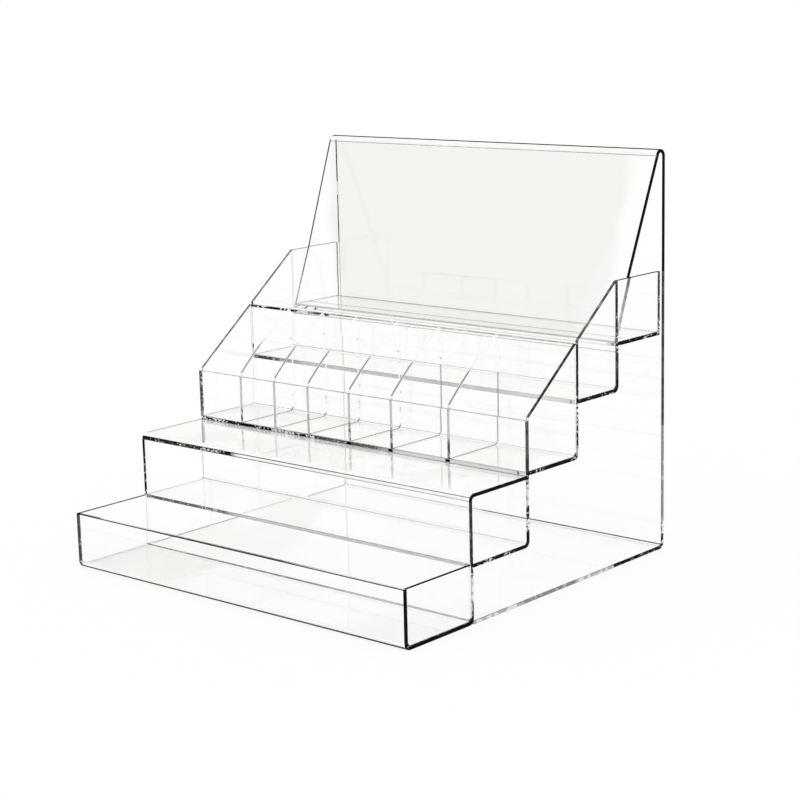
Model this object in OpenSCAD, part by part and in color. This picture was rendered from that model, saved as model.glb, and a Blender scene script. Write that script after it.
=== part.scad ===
// Stepped display stand for cosmetics, made of clear sheet that is cut, heat bent
// and cemented. Five levels climb from a front tray to a top shelf, and one long
// sheet folds from the base up the back and over into a slanted header.
// X runs along the width, Y from the front to the back, Z up. The origin is on
// the surface that the stand rests on, in the middle of its width and depth.

/* [Sheet] */
// Thickness of every sheet
sheet_t = 3; // [2:0.5:5]
// Inside radius of the heat bends
bend_r = 3; // [2:0.5:5]
// Inside radius of the bend at the top of the header
top_bend_r = 3.5; // [3:0.5:8]
// Thickness of the cement between two cemented sheets
cement_t = 0.1; // [0.05:0.05:0.3]
// Width of the stand
stand_w = 400; // [300:10:500]

/* [Front tray] */
// Depth from the front face of the tray to the front face of the next riser
tray_depth = 85; // [60:1:120]
// Height of the tray, which is also the level of the floor behind it
tray_h = 52; // [35:1:70]

/* [Open box] */
// Depth from the riser of the tray to the front of the compartments
box_depth = 77.5; // [50:0.5:110]
// Rise from the top of the tray to the top of the box
box_rise = 60; // [40:1:90]

/* [Compartments] */
// Depth from the front face of the compartments to the front of the upper tray
comp_depth = 72; // [50:0.5:110]
// Rise from the top of the box to the underside of the upper tray
comp_rise = 50; // [30:1:80]
// Height of the front strip above the floor of the compartments
comp_front_h = 45; // [20:1:50]
// Rise of the dividers' arched tops above a straight line from end to end
divider_arch = 3; // [1:0.5:6]
// Places of the dividers, as shares of the clear width from the left cheek
divider_shares = [0.134, 0.247, 0.357, 0.488, 0.617, 0.786];

/* [Upper tray] */
// Depth from the front face of the upper tray to the front of the top shelf
upper_depth = 61.5; // [40:0.5:90]
// Rise from the underside of the upper tray to the underside of the top shelf
upper_rise = 42; // [25:1:70]
// Height of the front strip above the floor of the upper tray
upper_front_h = 50.5; // [20:0.5:60]

/* [Top shelf and header] */
// Depth of the top shelf
shelf_depth = 69; // [50:1:100]
// Height of the cheeks above the top shelf
shelf_cheek_h = 56; // [20:1:90]
// Gap between the top shelf and the back panel
back_gap = 4.5; // [1:0.5:10]
// Setback of the header's foot from the front edge of the top shelf
foot_setback = 0.5; // [0.5:0.5:10]
// Rise from the top shelf to the top of the header
header_rise = 166.5; // [120:0.5:220]
// Clearance between the header and each cheek of the top shelf
header_clear = 0.5; // [0.2:0.1:2]

/* [Hidden] */
$fn = 96;

clear_tint = [0.86, 0.89, 0.87, 0.45];
edge_tint = [0.72, 0.77, 0.74, 0.6];
half_t = sheet_t / 2;
quarter = 90;

// Front faces of the risers, counted back from the front of the stand
box_y = tray_depth;
comp_y = box_y + box_depth;
upper_y = comp_y + comp_depth;
shelf_y = upper_y + upper_depth;
shelf_back_y = shelf_y + shelf_depth;
panel_y = shelf_back_y + back_gap;
stand_d = panel_y + sheet_t;

// Top faces of the floors and of what stands at the ends
box_floor_z = tray_h;
box_top_z = tray_h + box_rise;
comp_floor_z = box_top_z + cement_t + sheet_t;
comp_front_z = comp_floor_z + comp_front_h;
upper_under_z = box_top_z + comp_rise;
upper_floor_z = upper_under_z + sheet_t;
upper_front_z = upper_floor_z + upper_front_h;
shelf_under_z = upper_under_z + upper_rise;
shelf_z = shelf_under_z + sheet_t;
shelf_cheek_z = shelf_z + shelf_cheek_h;
stand_h = shelf_z + header_rise;

// The straight slope that the end cheeks share, from the top of the compartments'
// front strip to the top of the shelf cheeks
slope_rise = (shelf_cheek_z - comp_front_z) / (shelf_y - comp_y);
function slope_z(y) = comp_front_z + slope_rise * (y - comp_y);

// The header leans from its foot on the shelf to the bend at the top of the back.
// Its front face is the tangent from the foot to the outside of that bend, with
// the lean in whole tenths of a degree.
lean_step = 0.1;
top_bend_out = top_bend_r + sheet_t;
foot = [shelf_y + foot_setback, shelf_z + cement_t];
top_centre = [stand_d - top_bend_out, stand_h - top_bend_out];
foot_reach = top_centre - foot;
tangent_lean = atan2(foot_reach[0], foot_reach[1]) - asin(top_bend_out / norm(foot_reach));
header_lean = round(tangent_lean / lean_step) * lean_step;
header_leg = norm(foot_reach);
// The header starts a little inside the bend and is a hair thinner, so that the
// two join without a sliver
join_lap = 0.2;
join_step = 0.02;
// How far the tapered cut of the header's sides runs on past the sheet's corner
taper_over_share = 0.05;

// The base starts where its top edge meets the outside of the tray's rear bend
bend_out = bend_r + sheet_t;
butt_step = 0.01;
butt_y = box_y + sheet_t + cement_t - bend_out + sqrt(pow(bend_out, 2) - pow(bend_r, 2));
base_front_y = ceil(butt_y / butt_step) * butt_step;

// The arc along the top of a divider, from the top of one front strip to the next
arch_from = [comp_y, comp_front_z];
arch_to = [upper_y, upper_front_z];
arch_span = norm(arch_to - arch_from);
arch_r = (pow(arch_span / 2, 2) + pow(divider_arch, 2)) / (2 * divider_arch);
arch_centre = (arch_from + arch_to) / 2 - (arch_r - divider_arch) * left_of(unit(arch_to - arch_from));

// Clear width between the end cheeks, and the left faces of the dividers
clear_w = stand_w - 2 * sheet_t;
function divider_x(i) = divider_shares[i] * clear_w - clear_w / 2 - half_t;

// Corner cut of a plate that stands in a bend
bend_cut = bend_r;

function unit(v) = v / norm(v);
function turn(a, b) = atan2(a[0] * b[1] - a[1] * b[0], a * b);
function left_of(d) = [-d[1], d[0]];

// A sheet with square bends, along a path of corners of its middle surface in Y and Z
module bent_sheet(path) {
    legs = len(path) - 1;
    dirs = [for (i = [0:legs - 1]) unit(path[i + 1] - path[i])];
    turns = [for (i = [0:legs - 1]) i == 0 ? 0 : turn(dirs[i - 1], dirs[i])];
    mid_r = bend_r + half_t;
    translate([-stand_w / 2, 0, 0]) {
        for (i = [0:legs - 1]) {
            from_trim = i == 0 ? 0 : mid_r;
            to_trim = i == legs - 1 ? 0 : mid_r;
            start = path[i] + dirs[i] * from_trim;
            leg = norm(path[i + 1] - path[i]) - from_trim - to_trim;
            translate([0, start[0], start[1]])
                rotate([atan2(dirs[i][1], dirs[i][0]), 0, 0])
                    translate([0, 0, -half_t]) cube([stand_w, leg, sheet_t]);
        }
        for (i = [1:legs - 1]) {
            side = sign(turns[i]);
            heading = atan2(dirs[i - 1][1], dirs[i - 1][0]);
            centre = path[i] - dirs[i - 1] * mid_r + side * left_of(dirs[i - 1]) * mid_r;
            translate([0, centre[0], centre[1]])
                rotate([quarter, 0, quarter]) rotate([0, 0, side > 0 ? heading - quarter : heading])
                    rotate_extrude(angle = quarter) translate([bend_r, 0]) square([sheet_t, stand_w]);
        }
    }
}

// A flat plate that stands across the width at x, its outline in Y and Z
module end_plate(x, outline) {
    translate([x, 0, 0]) rotate([quarter, 0, quarter]) linear_extrude(sheet_t) polygon(outline);
}

// Everything is drawn from the front face of the tray and then centred
module centred() {
    translate([0, -stand_d / 2, 0]) children();
}

// The bend at the top of the back, and the header that leans down from it
module top_bend_and_header() {
    reach = 2 * top_bend_out;
    turned = 2 * quarter - header_lean;
    translate([-stand_w / 2, top_centre[0], top_centre[1]]) {
        difference() {
            rotate([0, quarter, 0]) cylinder(r = top_bend_out, h = stand_w);
            translate([-sheet_t, 0, 0]) rotate([0, quarter, 0])
                cylinder(r = top_bend_r, h = stand_w + 2 * sheet_t);
            translate([-sheet_t, -reach, -reach]) cube([stand_w + 2 * sheet_t, 2 * reach, reach]);
            rotate([turned, 0, 0]) translate([-sheet_t, 0, 0])
                cube([stand_w + 2 * sheet_t, reach, reach]);
        }
        rotate([turned, 0, 0]) translate([0, top_bend_r + join_step, -join_lap])
            cube([stand_w, sheet_t - 2 * join_step, header_leg]);
    }
}

// Base, back panel, top bend and header in one sheet. The header narrows
// towards its foot so that it drops between the cheeks of the top shelf.
module back_frame() {
    foot_w = clear_w - 2 * header_clear;
    taper_low = [foot_w / 2, shelf_cheek_z];
    taper_high = [stand_w / 2, top_centre[1]];
    taper_end = taper_high + taper_over_share * (taper_high - taper_low);
    color(clear_tint) centred() difference() {
        union() {
            bent_sheet([[base_front_y, half_t], [stand_d - half_t, half_t],
                [stand_d - half_t, top_centre[1]]]);
            top_bend_and_header();
        }
        // Flat underside of the foot
        translate([-stand_w, shelf_y - shelf_depth, foot[1] - header_leg])
            cube([2 * stand_w, 2 * shelf_depth, header_leg]);
        // Both side edges of the header
        for (side = [-1, 1])
            translate([0, panel_y - back_gap / 2, 0]) rotate([quarter, 0, 0]) linear_extrude(stand_d)
                polygon([[side * taper_end[0], taper_end[1]], [side * taper_low[0], taper_low[1]],
                    [side * taper_low[0], shelf_under_z], [side * stand_w, shelf_under_z],
                    [side * stand_w, taper_end[1]]]);
    }
}

// Front of the tray, its floor, the riser behind it and the top of the box
module tray_and_riser() {
    color(clear_tint) centred()
        bent_sheet([[half_t, tray_h], [half_t, half_t], [box_y + half_t, half_t],
            [box_y + half_t, box_top_z - half_t], [comp_y + sheet_t, box_top_z - half_t]]);
}

// An upright and the floor in front of it, bent from one sheet
module floor_and_back(front_y, back_y, floor_z, top_z) {
    color(clear_tint) centred()
        bent_sheet([[front_y, floor_z - half_t], [back_y + half_t, floor_z - half_t],
            [back_y + half_t, top_z]]);
}

module box_floor_and_back() {
    floor_and_back(box_y + sheet_t + cement_t, comp_y, box_floor_z, box_top_z - sheet_t - cement_t);
}

module compartment_floor_and_back() {
    floor_and_back(comp_y, upper_y, comp_floor_z, upper_under_z - cement_t);
}

module upper_tray_floor_and_back() {
    floor_and_back(upper_y, shelf_y, upper_floor_z, shelf_under_z - cement_t);
}

module top_shelf() {
    color(clear_tint) centred() translate([-stand_w / 2, shelf_y, shelf_under_z])
        cube([stand_w, shelf_depth, sheet_t]);
}

// A strip that stands on the front edge of a floor
module front_strip(front_y, floor_z, top_z) {
    color(clear_tint) centred() translate([-stand_w / 2, front_y, floor_z + cement_t])
        cube([stand_w, sheet_t, top_z - floor_z - cement_t]);
}

module compartment_front_strip() {
    front_strip(comp_y, comp_floor_z, comp_front_z);
}

module upper_front_strip() {
    front_strip(upper_y, upper_floor_z, upper_front_z);
}

// Left face of an end cheek: side is -1 at the left end and 1 at the right
function cheek_x(side) = side < 0 ? -stand_w / 2 : stand_w / 2 - sheet_t;

// End of the front tray, with both lower corners cut for the bends
module tray_cheek(side) {
    front = sheet_t + cement_t;
    back = box_y - cement_t;
    floor = sheet_t + cement_t;
    color(edge_tint) centred() end_plate(cheek_x(side),
        [[front + bend_cut, floor], [back - bend_cut, floor], [back, floor + bend_cut],
            [back, tray_h], [front, tray_h], [front, floor + bend_cut]]);
}

module tray_cheek_left() { tray_cheek(-1); }
module tray_cheek_right() { tray_cheek(1); }

// End of a level whose top follows the shared slope
module sloped_cheek(side, front_y, back_y, floor_z) {
    front = front_y + sheet_t + cement_t;
    back = back_y - cement_t;
    floor = floor_z + cement_t;
    color(edge_tint) centred() end_plate(cheek_x(side),
        [[front, floor], [back - bend_cut, floor], [back, floor + bend_cut],
            [back, slope_z(back)], [front, slope_z(front)]]);
}

module compartment_cheek(side) { sloped_cheek(side, comp_y, upper_y, comp_floor_z); }
module upper_cheek(side) { sloped_cheek(side, upper_y, shelf_y, upper_floor_z); }

module compartment_cheek_left() { compartment_cheek(-1); }
module compartment_cheek_right() { compartment_cheek(1); }
module upper_cheek_left() { upper_cheek(-1); }
module upper_cheek_right() { upper_cheek(1); }

// End of the top shelf
module shelf_cheek(side) {
    color(edge_tint) centred() end_plate(cheek_x(side),
        [[shelf_y, shelf_z + cement_t], [shelf_back_y, shelf_z + cement_t],
            [shelf_back_y, shelf_cheek_z], [shelf_y, shelf_cheek_z]]);
}

module shelf_cheek_left() { shelf_cheek(-1); }
module shelf_cheek_right() { shelf_cheek(1); }

// A divider of the compartments, with an arched top
module divider(i) {
    front = comp_y + sheet_t + cement_t;
    back = upper_y - cement_t;
    floor = comp_floor_z + cement_t;
    color(edge_tint) centred() intersection() {
        end_plate(divider_x(i),
            [[front, floor], [back - bend_cut, floor], [back, floor + bend_cut],
                [back, upper_front_z], [front, upper_front_z]]);
        translate([divider_x(i) - sheet_t, arch_centre[0], arch_centre[1]])
            rotate([0, quarter, 0]) cylinder(r = arch_r, h = 3 * sheet_t, $fn = 720);
    }
}

module divider_1() { divider(0); }
module divider_2() { divider(1); }
module divider_3() { divider(2); }
module divider_4() { divider(3); }
module divider_5() { divider(4); }
module divider_6() { divider(5); }

back_frame();
tray_and_riser();
box_floor_and_back();
compartment_floor_and_back();
upper_tray_floor_and_back();
top_shelf();
compartment_front_strip();
upper_front_strip();
tray_cheek_left();
tray_cheek_right();
compartment_cheek_left();
compartment_cheek_right();
upper_cheek_left();
upper_cheek_right();
shelf_cheek_left();
shelf_cheek_right();
divider_1();
divider_2();
divider_3();
divider_4();
divider_5();
divider_6();
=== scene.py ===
import math

import bmesh
import bpy
from mathutils import Matrix, Vector


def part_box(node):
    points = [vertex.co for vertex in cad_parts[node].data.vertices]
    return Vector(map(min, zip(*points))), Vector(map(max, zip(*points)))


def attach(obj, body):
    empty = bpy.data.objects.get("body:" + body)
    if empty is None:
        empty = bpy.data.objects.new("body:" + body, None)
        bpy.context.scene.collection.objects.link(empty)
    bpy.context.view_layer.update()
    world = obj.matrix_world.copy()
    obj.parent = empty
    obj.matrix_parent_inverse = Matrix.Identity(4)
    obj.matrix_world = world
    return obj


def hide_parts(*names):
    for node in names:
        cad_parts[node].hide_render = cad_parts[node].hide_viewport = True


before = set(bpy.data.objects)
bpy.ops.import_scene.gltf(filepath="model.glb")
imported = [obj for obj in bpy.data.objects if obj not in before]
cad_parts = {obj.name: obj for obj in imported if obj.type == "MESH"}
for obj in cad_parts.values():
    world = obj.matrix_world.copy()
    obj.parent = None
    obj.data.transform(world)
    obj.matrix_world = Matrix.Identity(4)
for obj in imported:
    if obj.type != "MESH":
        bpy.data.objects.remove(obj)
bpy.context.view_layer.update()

# Sizes of the stand, in metres

MM = 0.001
SHEET = 3 * MM
HALF = SHEET / 2
CEMENT = 0.1 * MM
CUT_EDGE_ROUND = 0.3 * MM
HEADER_CLEAR = 0.5 * MM
DIVIDER_ARCH = 3 * MM

# Radii of the bends: inside, in the middle of the sheet and outside
BEND = 3 * MM
MID = BEND + HALF
OUT = BEND + SHEET
TOP_BEND = 3.5 * MM
TOP_MID = TOP_BEND + HALF
TOP_OUT = TOP_BEND + SHEET

# Flat strips that make up a bend of a quarter turn, the top bend and a divider's arch
BEND_STEPS = 12
TOP_BEND_STEPS = 26
ARCH_CUTS = 14

# Strips along an edge that are painted dark, by their width: painted shade for the dark look the edge gives
# through the sheet
DARK_STRIP = 1.2 * MM
CHEEK_STRIP = 1.9 * MM
LEFT_STRIP = 3.4 * MM
TRAY_TOP_LINE = 0.9 * MM
SHELF_BACK_LINE = 2.5 * MM
FENCE_LINES = (2.2 * MM, 0.9 * MM)
EDGE = 0.45 * MM

# Cement lines: where they lie, and where they change across the stand
SHELF_SEAM = (319.4 * MM, 320.6 * MM)
RISER_SEAM = (198.0 * MM, 198.6 * MM)
RISER_SEAM_ENDS = (100 * MM, 198 * MM)
BOX_SEAM_END = -68 * MM
COMP_SEAM_ENDS = (55 * MM, 108 * MM, 117 * MM)
FENCE_SEAM_ENDS = (-92 * MM, -50 * MM)
SEAM_DROP = 188 * MM
JOINT_MARKS = (6 * MM, 4.2 * MM, 2.2 * MM)

# Places of the pieces, from the frame

FRONT_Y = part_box("tray_and_riser")[0].y
BACK_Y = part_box("back_frame")[1].y
LEFT_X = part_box("tray_and_riser")[0].x
RIGHT_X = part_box("tray_and_riser")[1].x
TOP_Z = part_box("back_frame")[1].z
WIDTH = RIGHT_X - LEFT_X

TRAY_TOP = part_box("tray_cheek_left")[1].z
BOX_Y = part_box("tray_cheek_left")[1].y + CEMENT
BOX_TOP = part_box("tray_and_riser")[1].z
COMP_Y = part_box("compartment_front_strip")[0].y
COMP_FRONT_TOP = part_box("compartment_front_strip")[1].z
COMP_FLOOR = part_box("compartment_front_strip")[0].z - CEMENT
UPPER_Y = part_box("upper_front_strip")[0].y
UPPER_FRONT_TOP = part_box("upper_front_strip")[1].z
UPPER_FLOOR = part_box("upper_front_strip")[0].z - CEMENT
SHELF_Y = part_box("top_shelf")[0].y
SHELF_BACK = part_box("top_shelf")[1].y
SHELF_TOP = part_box("top_shelf")[1].z
SHELF_CHEEK_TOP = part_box("shelf_cheek_left")[1].z
BASE_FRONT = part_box("back_frame")[0].y
DIVIDER_X = [(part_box(f"divider_{i}")[0].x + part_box(f"divider_{i}")[1].x) / 2 for i in range(1, 7)]

# Heights, and depths behind the front, at which a sheet has a line across for its finishes
RISER_LINES = (24 * MM, 42 * MM, TRAY_TOP - SHEET, 60 * MM, 78 * MM)
BOX_LINES = (62 * MM, 86 * MM)
UPPER_LINES = (174 * MM, *RISER_SEAM)
BASE_LINES = (157 * MM, 232 * MM, 291 * MM)
PANEL_LINES = (26 * MM, 118 * MM, 198 * MM, 209 * MM, 222 * MM, 246 * MM, 262 * MM, 311 * MM, 325 * MM)
HEAD_LINE = (368.4 * MM, 367.7 * MM)
BACK_CUT = 181 * MM

# How far a tinted face reaches from the middle
TINT_REACH = 190 * MM

# Finishes

ACRYLIC_IOR = 1.49
CLEAR_TINT = (0.998, 0.999, 0.994)
FLOOR_REFLECTION_TINT = (0.89, 0.90, 0.86)
ALONG_X = (1, 0, 0)
UP = (0, 0, 1)


def new_group(name, inputs, outputs):
    """A node group with named inputs and outputs."""
    group = bpy.data.node_groups.new(name, "ShaderNodeTree")
    for label, kind, value in inputs:
        socket = group.interface.new_socket(name=label, in_out="INPUT", socket_type=kind)
        if value is not None:
            socket.default_value = value
    for label, kind in outputs:
        group.interface.new_socket(name=label, in_out="OUTPUT", socket_type=kind)
    return group, group.nodes.new("NodeGroupInput"), group.nodes.new("NodeGroupOutput")


def math_node(tree, how, a, b):
    """A Math node of two sockets or numbers."""
    node = tree.nodes.new("ShaderNodeMath")
    node.operation = how
    for socket, value in zip(node.inputs, (a, b)):
        if isinstance(value, (int, float)):
            socket.default_value = value
        else:
            tree.links.new(value, socket)
    return node.outputs[0]


def step_between(tree, value, low, high):
    """0 below low, 1 above high, smooth between."""
    node = tree.nodes.new("ShaderNodeMapRange")
    node.interpolation_type = "SMOOTHSTEP"
    tree.links.new(value, node.inputs["Value"])
    for label, end in (("From Min", low), ("From Max", high)):
        if isinstance(end, (int, float)):
            node.inputs[label].default_value = end
        else:
            tree.links.new(end, node.inputs[label])
    return node.outputs["Result"]


def flecks_group():
    """Fine light flecks that come and go along a saw cut and a cement line: painted glints, and on a cement
    line its bubbles too.
    """
    group, given, out = new_group("flecks", [
        ("Vector", "NodeSocketVector", None), ("Fleck Scale", "NodeSocketFloat", 520.0),
        ("Patch Scale", "NodeSocketFloat", 55.0), ("Level", "NodeSocketFloat", 0.6)],
        [("Mask", "NodeSocketFloat")])
    noises = []
    for label in ("Fleck Scale", "Patch Scale"):
        noise = group.nodes.new("ShaderNodeTexNoise")
        noise.inputs["Detail"].default_value = 1
        group.links.new(given.outputs["Vector"], noise.inputs["Vector"])
        group.links.new(given.outputs[label], noise.inputs["Scale"])
        noises.append(noise.outputs["Fac"])
    flecks, patches = noises
    patch_weight, blur = 0.8, 0.02
    patch = math_node(group, "MULTIPLY", math_node(group, "SUBTRACT", patches, 0.5), patch_weight)
    total = math_node(group, "ADD", flecks, patch)
    low = math_node(group, "SUBTRACT", given.outputs["Level"], blur)
    high = math_node(group, "ADD", given.outputs["Level"], blur)
    group.links.new(step_between(group, total, low, high), out.inputs["Mask"])
    return group


def fade_group():
    """A share that rises from one place to another along a direction."""
    group, given, out = new_group("fade_along", [
        ("Vector", "NodeSocketVector", None), ("Direction", "NodeSocketVector", (1.0, 0.0, 0.0)),
        ("Start", "NodeSocketFloat", -0.1), ("End", "NodeSocketFloat", 0.1),
        ("Wander", "NodeSocketFloat", 0.03)],
        [("Share", "NodeSocketFloat")])
    run = group.nodes.new("ShaderNodeVectorMath")
    run.operation = "DOT_PRODUCT"
    group.links.new(given.outputs["Vector"], run.inputs[0])
    group.links.new(given.outputs["Direction"], run.inputs[1])
    noise = group.nodes.new("ShaderNodeTexNoise")
    noise.inputs["Scale"].default_value = 40
    group.links.new(given.outputs["Vector"], noise.inputs["Vector"])
    drift = math_node(group, "SUBTRACT", noise.outputs["Fac"], 0.5)
    drift = math_node(group, "MULTIPLY", drift, given.outputs["Wander"])
    place = math_node(group, "ADD", run.outputs["Value"], drift)
    share = step_between(group, place, given.outputs["Start"], given.outputs["End"])
    group.links.new(share, out.inputs["Share"])
    return group


FLECKS = flecks_group()
FADE = fade_group()


def start_material(name, roughness):
    """A material with its nodes, its shader and the place on the piece."""
    mat = bpy.data.materials.new(name)
    mat.use_nodes = True
    tree = mat.node_tree
    shader = tree.nodes["Principled BSDF"]
    shader.inputs["Roughness"].default_value = roughness
    shader.inputs["IOR"].default_value = ACRYLIC_IOR
    place = tree.nodes.new("ShaderNodeTexCoord")
    return mat, tree, shader, place.outputs["Object"]


def mix_colour(tree, mask, low, high):
    """A colour between two, by a mask."""
    mix = tree.nodes.new("ShaderNodeMix")
    mix.data_type = "RGBA"
    for label, value in (("A", low), ("B", high)):
        if isinstance(value, tuple):
            mix.inputs[label].default_value = (*value, 1)
        else:
            tree.links.new(value, mix.inputs[label])
    tree.links.new(mask, mix.inputs["Factor"])
    return mix.outputs["Result"]


def let_light_through(tree, shader, shade):
    """Lets lamps through clear sheet, less a little."""
    through = tree.nodes.new("ShaderNodeBsdfTransparent")
    through.inputs["Color"].default_value = (shade, shade, shade, 1)
    path = tree.nodes.new("ShaderNodeLightPath")
    mix = tree.nodes.new("ShaderNodeMixShader")
    tree.links.new(path.outputs["Is Shadow Ray"], mix.inputs["Fac"])
    tree.links.new(shader.outputs["BSDF"], mix.inputs[1])
    tree.links.new(through.outputs["BSDF"], mix.inputs[2])
    tree.links.new(mix.outputs["Shader"], tree.nodes["Material Output"].inputs["Surface"])


def flecks_on(tree, place, level, fleck_scale=520.0):
    """The mask of flecks at its own level and scale."""
    node = tree.nodes.new("ShaderNodeGroup")
    node.node_tree = FLECKS
    node.inputs["Level"].default_value = level
    node.inputs["Fleck Scale"].default_value = fleck_scale
    tree.links.new(place, node.inputs["Vector"])
    return node.outputs["Mask"]


def fade_on(tree, place, start, stop, along=ALONG_X, wander=0.03):
    """The share that rises from start to stop."""
    node = tree.nodes.new("ShaderNodeGroup")
    node.node_tree = FADE
    node.inputs["Direction"].default_value = along
    node.inputs["Start"].default_value = start
    node.inputs["End"].default_value = stop
    node.inputs["Wander"].default_value = wander
    tree.links.new(place, node.inputs["Vector"])
    return node.outputs["Share"]


def clear_finish(name, tint, patch_colour, parts=(), low=0.4, high=0.6):
    """Polished clear sheet with faint patches in its colour, tinted only where all the parts meet. On the
    floors and the header the tint is painted reflection and the paler patches are painted glare.
    """
    mat, tree, shader, place = start_material(name, 0)
    shader.inputs["Transmission Weight"].default_value = 1
    noise = tree.nodes.new("ShaderNodeTexNoise")
    noise.inputs["Scale"].default_value = 9
    tree.links.new(place, noise.inputs["Vector"])
    colour = mix_colour(tree, step_between(tree, noise.outputs["Fac"], low, high), patch_colour, tint)
    if parts:
        share = None
        for start, stop, along, wander in parts:
            part = fade_on(tree, place, start, stop, along, wander)
            share = part if share is None else math_node(tree, "MULTIPLY", share, part)
        colour = mix_colour(tree, share, CLEAR_TINT, colour)
    tree.links.new(colour, shader.inputs["Base Color"])
    let_light_through(tree, shader, 0.985)
    return mat


def add_marks(tree, place, colour, marks):
    """Marks across the stand, each an X, a half width and a tone."""
    if marks:
        split = tree.nodes.new("ShaderNodeSeparateXYZ")
        tree.links.new(place, split.inputs[0])
    for x, reach, tone in marks:
        off = math_node(tree, "ABSOLUTE", math_node(tree, "SUBTRACT", split.outputs["X"], x), 0)
        colour = mix_colour(tree, step_between(tree, off, 0.7 * reach, reach), (tone,) * 3, colour)
    return colour


def shade_light_and_cement_finish(name, dark, light, level, fleck_scale=520.0, stages=(), along=ALONG_X, wander=0.03,
                stripes=(), drops=(), outside_only=False):
    """A finish for cut edges, cement lines, folds and rims: dark with light flecks, and with stripes,
    stages and drops of cement over it. On cut edges, folds and rims the dark is painted shade and the
    flecks are painted glints; on a cement line the dark is the cement and the flecks its bubbles. Pale
    tones, and stages that turn pale, are painted light.

    A stage turns to its own dark and light tone between two places along the edge. With outside_only the
    finish isn't there for light inside the sheet.
    """
    mat, tree, shader, place = start_material(name, 0.4)
    shader.inputs["Specular IOR Level"].default_value = 0
    mask = flecks_on(tree, place, level, fleck_scale)
    colour = mix_colour(tree, mask, (dark,) * 3, (light,) * 3)
    colour = add_marks(tree, place, colour, stripes)
    for start, stop, low, high in stages:
        tone = mix_colour(tree, mask, (low,) * 3, (high,) * 3)
        colour = mix_colour(tree, fade_on(tree, place, start, stop, along, wander), colour, tone)
    colour = add_marks(tree, place, colour, drops)
    tree.links.new(colour, shader.inputs["Base Color"])
    if outside_only:
        through = tree.nodes.new("ShaderNodeBsdfTransparent")
        side = tree.nodes.new("ShaderNodeNewGeometry")
        mix = tree.nodes.new("ShaderNodeMixShader")
        tree.links.new(side.outputs["Backfacing"], mix.inputs["Fac"])
        tree.links.new(shader.outputs["BSDF"], mix.inputs[1])
        tree.links.new(through.outputs["BSDF"], mix.inputs[2])
        tree.links.new(mix.outputs["Shader"], tree.nodes["Material Output"].inputs["Surface"])
    return mat


def line_finish(name, dark, light, level, start, stop, end):
    """A dark line in the clear sheet, painted shade with light flecks as painted glints, that turns to the
    end tone across the stand.
    """
    mat, tree, shader, place = start_material(name, 0.02)
    shader.inputs["Transmission Weight"].default_value = 1
    speckled = mix_colour(tree, flecks_on(tree, place, level), (dark,) * 3, (light,) * 3)
    colour = mix_colour(tree, fade_on(tree, place, start, stop), speckled, (end,) * 3)
    tree.links.new(colour, shader.inputs["Base Color"])
    let_light_through(tree, shader, 0.9)
    return mat


# Half widths of a divider's mark and of drops of cement
MARK = 0.9 * MM
DROP = 3.2 * MM
END_DROP = 1.4 * MM

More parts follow.
